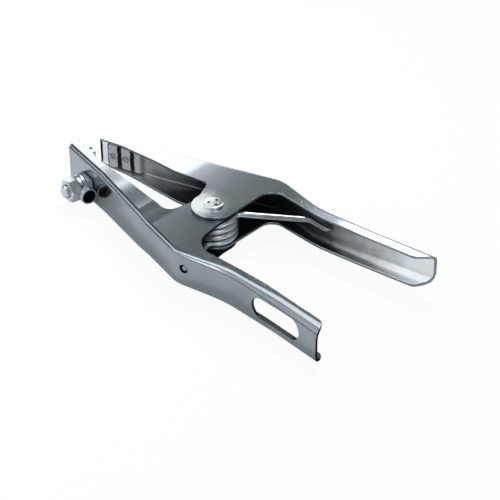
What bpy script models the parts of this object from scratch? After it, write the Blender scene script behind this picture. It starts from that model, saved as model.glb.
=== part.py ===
"""Pressed steel spring clamp with a cable terminal, modelled at real size.

Two folded sheet levers turn on one rivet. The inner lever carries the cable
terminal and the wider jaw; the outer lever's ears lie outside the inner ones.
A torsion spring sits on a bush between the ears and spreads the two handles.
Metres, +Z up. The pivot axis is the Z axis, the jaws point to -X and the
handles to +X. Z = 0 is the flat tail of the pivot rivet, on which it lies.
"""
import math

import bmesh
import bpy
from mathutils import Matrix, Vector

MM = 0.001

# Main sizes ------------------------------------------------------------------
JAW_REACH = 108.0       # pivot to the tip of the inner jaw
GRIP_REACH = 126.8      # pivot to the end of the outer handle
SPREAD = 46.6           # middle line to the shoulder of either lever
EAR_HALF = 11.35        # half height of either lever at its ears
SHEET = 1.6             # thickness of both pressed levers
FIT = 0.3               # running gap between pieces that touch

# Ears and pivot --------------------------------------------------------------
OFFSET = (SHEET + FIT) / 2  # the levers lap like scissors: one sits low, one high
STACK_HALF = EAR_HALF + OFFSET
EAR_R = 13.0            # round ears about the pivot
PIVOT_R = 4.0
PIVOT_HOLE_R = PIVOT_R + FIT
HEAD_R = 5.8
TAIL_H = 2.5            # flat tail, on which the clamp lies
MID_Z = TAIL_H + FIT + STACK_HALF
STAKE_COUNT = 3         # punch marks that swell the head of the rivet
STAKE_RING = HEAD_R / 2

# Shapes of the levers, in shares of the main sizes ----------------------------
# Plan of a web: share of the reach, share of the spread, fillet over the spread.
# A negative share runs to the jaws and a positive one to the handles.
INNER_WEB = (
    (-1.0, 0.2747, 0.0),
    (-0.6481, 0.4678, 1.29),
    (-0.2778, 0.721, 1.93),
    (0.1065, 0.9807, 0.47),
    (0.3707, 0.8584, 1.5),
    (0.6703, 0.9034, 3.43),
    (1.0095, 1.0043, 0.0),
)
OUTER_WEB = (
    (-0.9583, 0.2361, 0.0),
    (-0.6481, 0.4506, 1.29),
    (0.0931, 1.0, 0.43),
    (0.3549, 0.8455, 1.29),
    (0.6703, 0.9227, 3.43),
    (1.0, 1.0258, 0.0),
)

# Free edge of the flanges, in the same shares
INNER_MOUTH = (
    (-1.0, 0.1202, 0.0),
    (-0.8796, 0.1502, 0.32),
    (-0.7778, 0.2403, 0.26),
    (-0.4167, 0.3562, 1.29),
    (-0.1537, 0.4421, 0.14),
)
INNER_GRIP = (
    (0.1301, 0.721, 0.3),
    (0.2839, 0.7232, 1.29),
    (0.5521, 0.7382, 2.58),
    (0.9172, 0.8326, 0.09),
    (0.9172, 1.2876, 0.0),
)
OUTER_MOUTH = (
    (-0.9583, 0.176, 0.0),
    (-0.7778, 0.2275, 0.64),
    (-0.5556, 0.2318, 1.29),
    (-0.3704, 0.2275, 0.86),
    (-0.1722, 0.3176, 0.11),
)
OUTER_GRIP = (
    (0.1017, 0.7468, 0.18),
    (0.3943, 0.6803, 1.29),
    (0.6309, 0.7318, 2.58),
    (0.9038, 0.8112, 0.11),
    (0.97, 0.9828, 0.17),
    (0.9968, 1.2876, 0.0),
)

# Half height along a lever: share of the reach, share of EAR_HALF
INNER_HEIGHT = (
    (-1.0185, 1.233),
    (-0.7407, 1.207),
    (-0.5, 1.154),
    (-0.2778, 1.101),
    (-0.1296, 1.0),
    (0.205, 1.0),
    (0.4732, 1.057),
    (0.7098, 1.057),
    (1.0252, 1.04),
)
OUTER_HEIGHT = (
    (-1.0185, 0.802),
    (-0.7407, 0.89),
    (-0.5, 0.969),
    (-0.2963, 1.0),
    (0.2366, 1.0),
    (0.4732, 0.969),
    (0.7098, 0.934),
    (1.0252, 0.899),
)

# Outer radius of a fold in sheet thicknesses: wide on one long edge, tight on the other
WIDE_FOLD = (
    (-1.0185, 1.75),
    (0.142, 2.0),
    (0.4732, 3.75),
    (0.7886, 5.5),
    (1.0252, 5.88),
)
TIGHT_FOLD = (
    (-1.0185, 1.75),
    (1.0252, 1.94),
)

# Openings in the webs ----------------------------------------------------------
SLOT_START = 0.53 * GRIP_REACH  # cable slot in the inner lever's handle
SLOT_FINISH = 0.8125 * GRIP_REACH
SLOT_R = 6.3
SPRING_HOLE_R = 2.5
INNER_HOLE_X = 0.1522 * GRIP_REACH
INNER_HOLE_RISE = 1.5   # over the middle of the web
OUTER_HOLE_X = 0.4353 * GRIP_REACH
OUTER_HOLE_RISE = 0.3

# Torsion spring ------------------------------------------------------------
WIRE_R = 1.7
COIL_R = 12.2           # to the middle of the wire
COIL_TOP = 6.7          # height of the first coil over the middle plane
COIL_DROP = 2 * COIL_TOP - 0.1
POINTS_PER_COIL = 10
LEG_BEND_R = 3.4
OUTER_LEG_AZ = 36.9     # direction in which each leg leaves the coil
INNER_LEG_AZ = -65.8
WHOLE_TURNS = 3
LEG_CORNER_R = 3.2      # where a leg turns into its hole

# Bush between the ears -------------------------------------------------------
BUSH_R = 8.0
BUSH_HALF = EAR_HALF - OFFSET - SHEET - FIT

# Jaw pads --------------------------------------------------------------------
GROOVE_W = 2.6
GROOVE_DEPTH = 1.8
GROOVE_PITCH = 8.8
PAD_CHAMFER = 0.6
# Steps of a pad along the jaw: start, finish and thickness. The inner one has a raised nose.
OUTER_PAD = {"x0": -0.9093 * JAW_REACH, "half_z": 7.3, "steps": ((0.0, 22.6, 2.9),)}
INNER_PAD = {"x0": -0.9667 * JAW_REACH, "half_z": 11.4, "steps": ((0.0, 8.2, 10.2), (8.2, 25.6, 5.4))}
OUTER_GROOVE = 8.4      # first groove from the pad's front edge
INNER_GROOVE = 12.6
PAD_RIVET_R = 2.0
OUTER_RIVET_U = (4.0, 12.8)

# Cable terminal on the inner lever ---------------------------------------------
BOLT_X = -0.8204 * JAW_REACH
BOLT_RISE = -3.6        # over the middle of the web
BOLT_R = 4.0
BOLT_HEAD_R = 6.5
BOLT_HEAD_H = 2.9
BOLT_END = 15.8         # how far the bolt stands out of the web
LUG_THICK = 2.5
LUG_R = 8.2
LUG_NECK = 8.3          # where the palm ends and the barrel begins to form
BARREL_START = 10.0
LUG_END = 12.6
BARREL_R = 4.9
BORE_R = 4.1
WASHER_R = 7.9
WASHER_H = 1.4
LOCK_R = 7.0
LOCK_H = 1.8
LOCK_GAP = 1.2
NUT_FLATS = 13.0
NUT_H = 6.4


# Helpers ---------------------------------------------------------------------
def clear_scene():
    for old in list(bpy.data.objects):
        bpy.data.objects.remove(old, do_unlink=True)


def steel(name, colour, roughness, metallic=1.0):
    made = bpy.data.materials.new(name)
    made.use_nodes = True
    shader = made.node_tree.nodes["Principled BSDF"]
    shader.inputs["Base Color"].default_value = (*colour, 1.0)
    shader.inputs["Roughness"].default_value = roughness
    shader.inputs["Metallic"].default_value = metallic
    made.diffuse_color = (*colour, 1.0)
    return made


def finish_mesh(bm):
    bmesh.ops.remove_doubles(bm, verts=bm.verts, dist=0.002 * MM)
    bmesh.ops.recalc_face_normals(bm, faces=bm.faces)


def make_object(name, bm, material=None):
    finish_mesh(bm)
    mesh = bpy.data.meshes.new(name)
    bm.to_mesh(mesh)
    bm.free()
    made = bpy.data.objects.new(name, mesh)
    bpy.context.scene.collection.objects.link(made)
    if material:
        mesh.materials.append(material)
    return made


def laid_out(rows):
    """Rows in shares of the main sizes, in millimetres."""
    out = []
    for x, y, radius in rows:
        reach = JAW_REACH if x < 0 else GRIP_REACH
        out.append((x * reach, y * SPREAD, radius * SPREAD))
    return tuple(out)


def share_of_reach(x):
    return x / (JAW_REACH if x < 0 else GRIP_REACH)


def fillet_path(corners, steps=6):
    """Polyline through (x, y, radius) corners, each rounded to its radius."""
    out = [Vector(corners[0][:2])]
    for before, here, after in zip(corners, corners[1:], corners[2:]):
        p = Vector(here[:2])
        a = (Vector(before[:2]) - p).normalized()
        b = (Vector(after[:2]) - p).normalized()
        radius = here[2]
        half = a.angle(b) / 2
        reach = radius / math.tan(half)
        start = p + a * reach
        end = p + b * reach
        centre = p + (a + b).normalized() * (radius / math.sin(half))
        turn = math.pi - 2 * half
        count = max(2, math.ceil(steps * turn / (math.pi / 2)))
        first = start - centre
        sweep = first.angle_signed(end - centre)
        for i in range(count + 1):
            arm = first.copy()
            arm.rotate(Matrix.Rotation(-sweep * i / count, 2))
            out.append(centre + arm)
    out.append(Vector(corners[-1][:2]))
    return out


def read_path(path, x):
    """Height of a path at x; the path runs from small x to large x."""
    for a, b in zip(path, path[1:]):
        if a[0] <= x <= b[0]:
            return a[1] + (b[1] - a[1]) * (x - a[0]) / (b[0] - a[0])
    raise ValueError(f"x {x} is off the path")


def read_smooth(table, x):
    """Value of a table of (x, value) pairs, eased between its rows."""
    for a, b in zip(table, table[1:]):
        if a[0] <= x <= b[0]:
            t = (x - a[0]) / (b[0] - a[0])
            return a[1] + (b[1] - a[1]) * t * t * (3 - 2 * t)
    raise ValueError(f"x {x} is off the table")


def bridge_rings(bm, rings, close_ends=True):
    """Skin a list of equal closed rings of points into one solid."""
    loops = [[bm.verts.new(Vector(p) * MM) for p in ring] for ring in rings]
    count = len(loops[0])
    for low, high in zip(loops, loops[1:]):
        for i in range(count):
            j = (i + 1) % count
            bm.faces.new((low[i], low[j], high[j], high[i]))
    if close_ends:
        bm.faces.new(loops[0][::-1])
        bm.faces.new(loops[-1])


def prism(name, outline, low, high, material=None):
    """Closed outline in the XY plane, raised from low to high."""
    bm = bmesh.new()
    bridge_rings(bm, [[(p[0], p[1], low) for p in outline],
                      [(p[0], p[1], high) for p in outline]])
    return make_object(name, bm, material)


def revolve(name, profile, material=None, segments=32):
    """Closed (radius, height) profile turned about Z; radius 0 is the axis."""
    bm = bmesh.new()
    columns = []
    for radius, height in profile:
        if radius == 0:
            columns.append([bm.verts.new(Vector((0, 0, height)) * MM)])
            continue
        ring = []
        for i in range(segments):
            angle = math.tau * i / segments
            point = Vector((radius * math.cos(angle), radius * math.sin(angle), height))
            ring.append(bm.verts.new(point * MM))
        columns.append(ring)
    pairs = zip(columns, columns[1:] + columns[:1])
    for a, b in pairs:
        if len(a) == 1 and len(b) == 1:
            continue
        for i in range(segments):
            j = (i + 1) % segments
            corners = [a[i % len(a)], a[j % len(a)], b[j % len(b)], b[i % len(b)]]
            bm.faces.new(list(dict.fromkeys(corners)))
    return make_object(name, bm, material)


def boolean(target, tool, operation="DIFFERENCE"):
    """Apply one exact Boolean and drop its tool."""
    step = target.modifiers.new("cut", "BOOLEAN")
    step.operation = operation
    step.object = tool
    step.solver = "EXACT"
    bpy.context.view_layer.update()
    graph = bpy.context.evaluated_depsgraph_get()
    result = bpy.data.meshes.new_from_object(target.evaluated_get(graph))
    target.modifiers.clear()
    target.data = result
    bpy.data.objects.remove(tool, do_unlink=True)


def drill(target, frame, radius, low, high, segments=24):
    """Round hole along the third axis of a frame."""
    tool = revolve("drill", ((0, low), (radius, low), (radius, high), (0, high)), None, segments)
    bake(tool, frame)
    boolean(target, tool)


def bake(target, matrix):
    """Move the mesh itself, and leave the object's origin where it is."""
    target.data.transform(matrix)
    if matrix.determinant() < 0:
        target.data.flip_normals()


def shade_folds(target, angle=35):
    for face in target.data.polygons:
        face.use_smooth = True
    target.data.set_sharp_from_angle(angle=math.radians(angle))


# Levers ------------------------------------------------------------------------
class Lever:
    """One folded channel. side is -1 for the inner lever and 1 for the outer."""

    def __init__(self, side, web, mouth, grip, height):
        self.side = side
        self.mid = MID_Z + side * OFFSET
        self.folds = (WIDE_FOLD, TIGHT_FOLD) if side < 0 else (TIGHT_FOLD, WIDE_FOLD)
        self.web = fillet_path(laid_out(web))
        self.mouth = laid_out(mouth)
        self.grip = laid_out(grip)
        self.height = height

    def half(self, x):
        return EAR_HALF * read_smooth(self.height, share_of_reach(x))

    def corner(self, x, deep, fold, offset):
        """Half a section, one skin of the sheet: from its free edge round to the web."""
        web = read_path(self.web, x)
        half = self.half(x)
        bend = fold - offset
        skin = [(deep, half - offset)]
        steps = 4
        for i in range(steps + 1):
            angle = math.pi / 2 * i / steps
            across = web - fold + bend * math.sin(angle)
            skin.append((across, half - fold + bend * math.cos(angle)))
        return skin

    def section(self, x, deep):
        """C-shaped section of the sheet at x, open towards the middle line."""
        high, low = (SHEET * read_smooth(table, share_of_reach(x)) for table in self.folds)
        ring = self.corner(x, deep, high, 0)
        ring += [(y, -z) for y, z in reversed(self.corner(x, deep, low, 0))]
        ring += [(y, -z) for y, z in self.corner(x, deep, low, SHEET)]
        ring += reversed(self.corner(x, deep, high, SHEET))
        return [(x, self.side * y, self.mid + z) for y, z in ring]

    def channel(self, name, material):
        x0 = self.web[0][0] + 0.01
        x1 = self.web[-1][0] - 0.01
        marks = {x0, x1}
        marks.update(p[0] for p in self.web[1:-1])
        for row in self.height:
            x = row[0] * (JAW_REACH if row[0] < 0 else GRIP_REACH)
            if x0 < x < x1:
                marks.add(x)
        step = (x1 - x0) / 39
        for i in range(1, 39):
            x = x0 + step * i
            if min(abs(x - m) for m in marks) > step * 0.4:
                marks.add(x)
        bm = bmesh.new()
        bridge_rings(bm, [self.section(x, -EAR_R * 1.5) for x in sorted(marks)])
        return make_object(name, bm, material)

    def plan(self):
        """Closed outline of the finished blank, seen from above."""
        tip = self.mouth[0]
        far = SPREAD * 1.33
        before = fillet_path(self.mouth + ((-EAR_R, EAR_R * 0.12, 0),))
        after = fillet_path(((EAR_R, EAR_R * 0.46, 0),) + self.grip)
        ear = []
        steps = 20
        for i in range(steps + 1):
            angle = math.pi + math.pi * i / steps
            ear.append(Vector((EAR_R * math.cos(angle), EAR_R * math.sin(angle))))
        front = tip[0] + SHEET * 0.3
        back = [Vector((after[-1][0], far)), Vector((front, far))]
        lead = [Vector((front, tip[1]))]
        line = lead + before[1:] + ear + after + back
        return [(p[0], self.side * p[1]) for p in line]

    def web_frame(self, x, height=0.0):
        """Frame on the outer face of the web: along the jaw, up, outward."""
        y = read_path(self.web, x)
        before = max(x - SHEET, self.web[0][0])
        after = x + SHEET
        slope = (read_path(self.web, after) - read_path(self.web, before)) / (after - before)
        along = Vector((1, self.side * slope, 0)).normalized()
        out = Vector((-self.side * along.y, self.side * along.x, 0))
        up = Vector((0, 0, 1))
        frame = Matrix((along, up, out)).transposed().to_4x4()
        frame.translation = Vector((x, self.side * y, self.mid + height)) * MM
        return frame

    def blank(self, name, material):
        body = self.channel(name, material)
        trim = prism("trim", self.plan(), -MID_Z, MID_Z * 3)
        boolean(body, trim, "INTERSECT")
        drill(body, Matrix.Identity(4), PIVOT_HOLE_R, -MID_Z, MID_Z * 3, 32)
        return body


def obround(name, x0, x1, z, radius, y0, y1, segments=16):
    """Slot cutter that runs along x and cuts along y."""
    outline = []
    for centre, start in ((x1 - radius, -math.pi / 2), (x0 + radius, math.pi / 2)):
        for i in range(segments + 1):
            angle = start + math.pi * i / segments
            outline.append((centre + radius * math.cos(angle), z + radius * math.sin(angle)))
    bm = bmesh.new()
    bridge_rings(bm, [[(p[0], y0, p[1]) for p in outline], [(p[0], y1, p[1]) for p in outline]])
    return make_object(name, bm)


# Spring --------------------------------------------------------------------------
def leg_to_coil(azimuth, turn_sign, height):
    """Points of the bend from a radial leg into the coil, outermost first.

    turn_sign is -1 where the wire leaves the leg clockwise, seen from above.
    Returns the points and the azimuth at which the coil takes over.
    """
    along = Vector((math.cos(azimuth), math.sin(azimuth)))
    across = Vector((-along.y, along.x)) * turn_sign
    reach = math.sqrt((COIL_R + LEG_BEND_R) ** 2 - LEG_BEND_R ** 2)
    centre = along * reach + across * LEG_BEND_R
    first = math.atan2(-across.y, -across.x)
    last = math.atan2(-centre.y, -centre.x)
    sweep = (last - first + math.pi) % math.tau - math.pi
    points = []
    steps = 4
    for i in range(steps + 1):
        angle = first + sweep * i / steps
        spot = centre + Vector((math.cos(angle), math.sin(angle))) * LEG_BEND_R
        points.append(Vector((spot.x, spot.y, height)))
    return points, math.atan2(centre.y, centre.x)


def round_wire(points, radius, steps=4):
    """Round the inner corners of a wire given by 3-D points."""
    out = [points[0]]
    for before, here, after in zip(points, points[1:], points[2:]):
        a = (before - here).normalized()
        b = (after - here).normalized()
        half = a.angle(b) / 2
        reach = radius / math.tan(half)
        centre = here + (a + b).normalized() * (radius / math.sin(half))
        first = here + a * reach - centre
        last = here + b * reach - centre
        for i in range(steps + 1):
            out.append(centre + first.slerp(last, i / steps).normalized() * radius)
    out.append(points[-1])
    return out


def spring_points(inner, outer):
    """The wire from the outer lever's hole, round the coil, to the inner lever's hole."""
    top, top_az = leg_to_coil(math.radians(OUTER_LEG_AZ), -1, COIL_TOP)
    low, low_az = leg_to_coil(math.radians(INNER_LEG_AZ), 1, COIL_TOP - COIL_DROP)
    total = top_az - low_az
    while total < math.tau * WHOLE_TURNS - 1.2:
        total += math.tau
    count = round(total / math.tau * POINTS_PER_COIL)
    coil = []
    for i in range(1, count):
        t = i / count
        angle = top_az - total * t
        drop = COIL_DROP * t
        coil.append(Vector((COIL_R * math.cos(angle), COIL_R * math.sin(angle), COIL_TOP - drop)))
    x = OUTER_HOLE_X
    rise = OUTER_HOLE_RISE + OFFSET
    web = read_path(outer.web, x)
    bend_x = x - 3.3 * LEG_BEND_R
    outer_leg = [
        Vector((x - 0.1 * WIRE_R, web + 0.4 * SHEET, rise)),
        Vector((x - 0.6 * WIRE_R, web - 2.3 * SHEET, rise + 0.3 * WIRE_R)),
        Vector((bend_x, read_path(outer.web, bend_x) - 4 * SHEET, COIL_TOP * 0.84)),
        top[0],
    ]
    x = INNER_HOLE_X
    rise = INNER_HOLE_RISE - OFFSET
    web = read_path(inner.web, x)
    inner_leg = [
        low[0],
        Vector((x - 0.35 * WIRE_R, 4.2 * SHEET - web, rise)),
        Vector((x, 0.5 * SHEET - web, rise)),
    ]
    lead = round_wire(outer_leg, LEG_CORNER_R)[:-1]
    tail = round_wire(inner_leg, LEG_CORNER_R)[1:]
    return lead + top + coil + low[::-1] + tail


def report_gap(points):
    """Least gap of the wire to itself, measured between distant stretches."""
    dense = []
    for a, b in zip(points, points[1:]):
        for i in range(6):
            dense.append(a.lerp(b, i / 6))
    run = [0.0]
    for a, b in zip(dense, dense[1:]):
        run.append(run[-1] + (b - a).length)
    least = 1e9
    for i, a in enumerate(dense):
        for j in range(i + 1, len(dense)):
            if run[j] - run[i] > 12 * WIRE_R:
                least = min(least, (a - dense[j]).length)
    print(f"torsion spring: least gap of the wire to itself {least - 2 * WIRE_R:.2f} mm")


def build_spring(inner, outer, material):
    points = spring_points(inner, outer)
    report_gap(points)
    curve = bpy.data.curves.new("torsion_spring", "CURVE")
    curve.dimensions = "3D"
    curve.bevel_depth = WIRE_R * MM
    curve.bevel_resolution = 1
    curve.use_fill_caps = True
    spline = curve.splines.new("POLY")
    spline.points.add(len(points) - 1)
    for slot, point in zip(spline.points, points):
        slot.co = (point.x * MM, point.y * MM, (MID_Z + point.z) * MM, 1)
    curve.materials.append(material)
    made = bpy.data.objects.new("torsion_spring", curve)
    bpy.context.scene.collection.objects.link(made)
    return made


# Jaw pads ------------------------------------------------------------------------
def build_pad(name, lever, size, first_groove, material):
    """Grooved contact pad on the inside of a web; grooves run up and down."""
    back = -(SHEET + FIT)
    cut = PAD_CHAMFER
    outline = [(0, back)]
    centre = first_groove
    for start, finish, thick in size["steps"]:
        face = back - thick
        outline += [(start, face + cut), (start + cut, face)]
        while centre < finish - cut - GROOVE_W / 2:
            half = GROOVE_W / 2
            outline += [
                (centre - half, face),
                (centre - half * 0.45, face + GROOVE_DEPTH),
                (centre + half * 0.45, face + GROOVE_DEPTH),
                (centre + half, face),
            ]
            centre += GROOVE_PITCH
        outline += [(finish - cut, face), (finish, face + cut)]
    outline.append((size["steps"][-1][1], back))
    bm = bmesh.new()
    low = [(u, -size["half_z"], n) for u, n in outline]
    high = [(u, size["half_z"], n) for u, n in outline]
    bridge_rings(bm, [low, high])
    pad = make_object(name, bm, material)
    bake(pad, lever.web_frame(size["x0"]))
    return pad


def shifted(frame, along, up=0.0):
    return frame @ Matrix.Translation(Vector((along, up, 0)) * MM)


# Build ---------------------------------------------------------------------------
def build():
    clear_scene()
    plated = steel("plated_sheet", (0.62, 0.65, 0.69), 0.34)
    plated_outer = steel("plated_sheet_outer", (0.66, 0.69, 0.73), 0.32)
    rivet_steel = steel("rivet_steel", (0.72, 0.74, 0.77), 0.3)
    spring_steel = steel("spring_steel", (0.55, 0.58, 0.62), 0.28)
    bush_steel = steel("bush_steel", (0.42, 0.44, 0.47), 0.45)
    pad_metal = steel("pad_metal", (0.74, 0.76, 0.78), 0.4)
    bolt_steel = steel("bolt_steel", (0.66, 0.7, 0.75), 0.28)
    lug_metal = steel("lug_metal", (0.6, 0.63, 0.67), 0.36)

    inner = Lever(-1, INNER_WEB, INNER_MOUTH, INNER_GRIP, INNER_HEIGHT)
    outer = Lever(1, OUTER_WEB, OUTER_MOUTH, OUTER_GRIP, OUTER_HEIGHT)
    bolt_frame = inner.web_frame(BOLT_X, BOLT_RISE)

    # Inner lever with its cable slot, bolt hole and spring hole.
    lever_a = inner.blank("lever_a", plated)
    inside = read_path(inner.web, SLOT_START) - 2 * SHEET
    slot = obround("slot", SLOT_START, SLOT_FINISH, inner.mid, SLOT_R, -SPREAD * 1.2, -inside)
    boolean(lever_a, slot)
    through = 3 * SHEET
    spring_hole = inner.web_frame(INNER_HOLE_X, INNER_HOLE_RISE)
    drill(lever_a, spring_hole, SPRING_HOLE_R, -through, through, 16)
    drill(lever_a, bolt_frame, BOLT_R + FIT, -through, through)
    shade_folds(lever_a)

    # Outer lever with its spring hole and the two pad rivet holes.
    lever_b = outer.blank("lever_b", plated_outer)
    spring_hole = outer.web_frame(OUTER_HOLE_X, OUTER_HOLE_RISE)
    drill(lever_b, spring_hole, SPRING_HOLE_R, -through, through, 16)
    outer_pad_frame = outer.web_frame(OUTER_PAD["x0"])
    for along in OUTER_RIVET_U:
        hole = shifted(outer_pad_frame, along)
        drill(lever_b, hole, PAD_RIVET_R + FIT, -through, through, 16)
    shade_folds(lever_b)

    # Pivot rivet: stem, staked head and flat tail.
    top = MID_Z + STACK_HALF + FIT
    low = MID_Z - STACK_HALF - FIT
    profile = [(0, 0), (HEAD_R - 0.5, 0), (HEAD_R, 0.5), (HEAD_R, low), (PIVOT_R, low),
               (PIVOT_R, top), (HEAD_R, top), (HEAD_R, top + 0.6), (HEAD_R - 0.9, top + 1.1),
               (HEAD_R - 3.2, top + 1.3), (0, top + 1.4)]
    rivet = revolve("pivot_rivet", profile, rivet_steel)
    for i in range(STAKE_COUNT):
        angle = math.radians(100 + 360 * i / STAKE_COUNT)
        ring = STAKE_RING
        spot = Vector((ring * math.cos(angle), ring * math.sin(angle), top + 1.9)) * MM
        stake = revolve("stake", ((0, -1.5), (0.85, 0), (0.85, 1), (0, 1)), None, 10)
        stake.matrix_world = Matrix.Translation(spot)
        boolean(rivet, stake)
    shade_folds(rivet)

    # Bush that keeps the inner ears apart and centres the coil.
    bush = revolve("spring_bush", (
        (PIVOT_R + FIT, MID_Z - BUSH_HALF),
        (BUSH_R - 0.4, MID_Z - BUSH_HALF),
        (BUSH_R, MID_Z - BUSH_HALF + 0.4),
        (BUSH_R, MID_Z + BUSH_HALF - 0.4),
        (BUSH_R - 0.4, MID_Z + BUSH_HALF),
        (PIVOT_R + FIT, MID_Z + BUSH_HALF),
    ), bush_steel)
    shade_folds(bush)

    build_spring(inner, outer, spring_steel)

    # Contact pads inside the two jaws.
    pad_a = build_pad("jaw_pad_a", inner, INNER_PAD, INNER_GROOVE, pad_metal)
    seat = -(SHEET + FIT) - INNER_PAD["steps"][-1][2]
    drill(pad_a, bolt_frame, BOLT_R + FIT, seat - 2, 0)
    drill(pad_a, bolt_frame, BOLT_HEAD_R + FIT, seat - 2, seat + BOLT_HEAD_H + 0.4, 32)
    shade_folds(pad_a)

    pad_b = build_pad("jaw_pad_b", outer, OUTER_PAD, OUTER_GROOVE, pad_metal)
    for along in OUTER_RIVET_U:
        frame = shifted(outer_pad_frame, along)
        drill(pad_b, frame, PAD_RIVET_R + FIT, -8, 0, 16)
    shade_folds(pad_b)

    # Rivets that hold the pads; domed heads lie outside the webs.
    def pad_rivet(name, frame, depth):
        profile = ((0, -depth), (PAD_RIVET_R, -depth), (PAD_RIVET_R, FIT), (2.9, FIT),
                   (2.8, 0.9), (2.0, 1.6), (0, 1.8))
        made = revolve(name, profile, rivet_steel, 20)
        bake(made, frame)
        return made

    depth_b = SHEET + FIT + OUTER_PAD["steps"][0][2] - 0.2
    for name, along in zip(("pad_rivet_b_front", "pad_rivet_b_rear"), OUTER_RIVET_U):
        shade_folds(pad_rivet(name, shifted(outer_pad_frame, along), depth_b))

    # Cable bolt with its low head sunk in the pad.
    head = seat + FIT
    bolt = revolve("cable_bolt", (
        (0, head), (BOLT_HEAD_R - 0.4, head), (BOLT_HEAD_R, head + 0.4),
        (BOLT_HEAD_R, head + BOLT_HEAD_H - 0.2), (BOLT_R, head + BOLT_HEAD_H - 0.2),
        (BOLT_R, BOLT_END - 0.9), (BOLT_R - 0.9, BOLT_END), (0, BOLT_END),
    ), bolt_steel)
    bake(bolt, bolt_frame)
    shade_folds(bolt)

    # Lug: flat palm under the washers, drawn up into a short open barrel.
    rings = []
    stations = [-0.98 * LUG_R, -0.88 * LUG_R, -0.68 * LUG_R, -0.37 * LUG_R, 0.0,
                LUG_R * 0.37, LUG_R * 0.73, LUG_NECK]
    for u in stations:
        wide = LUG_R if u > 0 else math.sqrt(LUG_R ** 2 - u ** 2)
        rings.append((u, wide, LUG_THICK / 2, FIT + LUG_THICK / 2, 8.0))
    steps = 5
    for i in range(1, steps + 1):
        t = i / steps
        ease = t * t * (3 - 2 * t)
        u = LUG_NECK + (BARREL_START - LUG_NECK) * t
        wide = LUG_R + (BARREL_R - LUG_R) * ease
        tall = LUG_THICK / 2 + (BARREL_R - LUG_THICK / 2) * ease
        rings.append((u, wide, tall, FIT + tall, 8.0 + (2.0 - 8.0) * ease))
    rings.append((LUG_END, BARREL_R, BARREL_R, FIT + BARREL_R, 2.0))
    bm = bmesh.new()
    loops = []
    for u, wide, tall, centre, power in rings:
        loop = []
        for i in range(28):
            angle = math.tau * i / 28
            c = math.cos(angle)
            s = math.sin(angle)
            v = math.copysign(abs(c) ** (2 / power), c) * wide
            n = math.copysign(abs(s) ** (2 / power), s) * tall
            loop.append((u, v, centre + n))
        loops.append(loop)
    bridge_rings(bm, loops)
    lug = make_object("cable_lug", bm, lug_metal)
    drill(lug, Matrix.Identity(4), BOLT_R + FIT, -LUG_THICK, 2 * LUG_THICK)
    deep = LUG_END - BARREL_START
    bore = revolve("bore", ((0, 0), (BORE_R, 0), (BORE_R, 2 * deep), (0, 2 * deep)), None, 28)
    turn = Matrix.Rotation(math.pi / 2, 4, "Y")
    seat_of_bore = Vector((LUG_END - deep, 0, FIT + BARREL_R)) * MM
    bore.matrix_world = Matrix.Translation(seat_of_bore) @ turn
    boolean(lug, bore)
    bake(lug, bolt_frame)
    shade_folds(lug)

    # Washers and nut, stacked outward from the lug.
    base = FIT + LUG_THICK + FIT
    flat = revolve("flat_washer", (
        (BOLT_R + FIT, base), (WASHER_R, base), (WASHER_R, base + WASHER_H),
        (BOLT_R + FIT, base + WASHER_H),
    ), bolt_steel)
    bake(flat, bolt_frame)
    shade_folds(flat)

    base += WASHER_H + FIT
    lock = revolve("lock_washer", (
        (BOLT_R + FIT, base), (LOCK_R, base), (LOCK_R, base + LOCK_H),
        (BOLT_R + FIT, base + LOCK_H),
    ), bolt_steel)
    half_gap = LOCK_GAP / 2
    slit = ((BOLT_R / 2, -half_gap), (2 * LOCK_R, -half_gap), (2 * LOCK_R, half_gap), (BOLT_R / 2, half_gap))
    gap = prism("gap", slit, base - LOCK_H, base + 2 * LOCK_H)
    gap.matrix_world = Matrix.Rotation(math.radians(35), 4, "Z")
    boolean(lock, gap)
    bake(lock, bolt_frame)
    shade_folds(lock)

    base += LOCK_H + FIT
    corner = NUT_FLATS / 2 / math.cos(math.pi / 6)
    hexagon = []
    for i in range(6):
        angle = math.radians(60 * i + 12)
        hexagon.append((corner * math.cos(angle), corner * math.sin(angle)))
    nut = prism("hex_nut", hexagon, base, base + NUT_H, bolt_steel)
    cone = revolve("cone", (
        (0, base - 1), (corner + 2, base - 1), (corner + 2, base + NUT_H - 2.3),
        (corner - 1.2, base + NUT_H + 0.02), (0, base + NUT_H + 0.02),
    ))
    boolean(nut, cone, "INTERSECT")
    drill(nut, Matrix.Identity(4), BOLT_R + FIT, base - 1, base + NUT_H + 1)
    bake(nut, bolt_frame)
    shade_folds(nut, 20)


build()
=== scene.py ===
"""Looks of the pressed steel spring clamp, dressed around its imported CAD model."""
import math

import bmesh
import bpy
from mathutils import Matrix, Vector


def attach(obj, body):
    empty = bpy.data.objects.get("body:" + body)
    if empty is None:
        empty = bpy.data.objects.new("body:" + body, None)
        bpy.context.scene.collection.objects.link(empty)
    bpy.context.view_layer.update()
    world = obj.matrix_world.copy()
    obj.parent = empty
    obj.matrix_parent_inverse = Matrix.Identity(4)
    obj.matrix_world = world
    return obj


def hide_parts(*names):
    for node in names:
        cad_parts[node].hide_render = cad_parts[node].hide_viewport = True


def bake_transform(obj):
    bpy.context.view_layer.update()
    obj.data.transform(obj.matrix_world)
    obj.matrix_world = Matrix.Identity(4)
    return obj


MM = 0.001
MID_Z = 15.1            # height of the pivot rivet's middle, mm
LEVER_A = "terminal_lever"
LEVER_B = "free_lever"

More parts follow.
